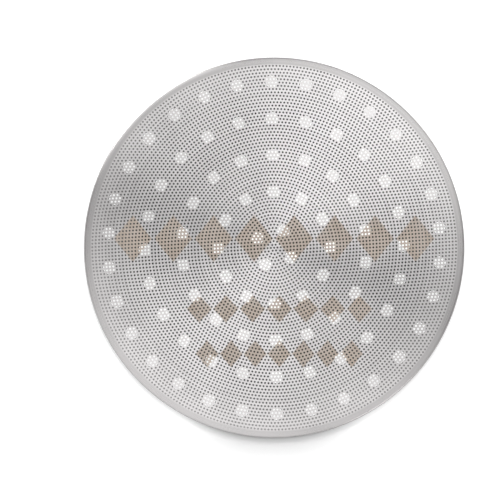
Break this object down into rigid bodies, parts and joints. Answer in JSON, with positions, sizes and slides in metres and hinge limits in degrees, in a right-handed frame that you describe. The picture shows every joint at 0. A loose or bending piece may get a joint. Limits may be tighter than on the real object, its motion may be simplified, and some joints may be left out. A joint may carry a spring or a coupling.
{
  "type": "espresso puck screen",
  "caption": "Thin round stainless plate with a fine perforated face over wider bores, laid on the coffee in a filter basket.",
  "frame": {"origin": "centre of the back face, on the surface that the plate lies on", "axes": "+Z up, along the plate's axis and out of its fine face; +X to the right and +Y up in the picture"},
  "size_m": [0.0584, 0.0584, 0.0008],
  "materials": {
    "steel": "fine circular turned finish, satin"
  },
  "bodies": {
    "root": {"screen": "steel"}
  },
  "joints": []
}
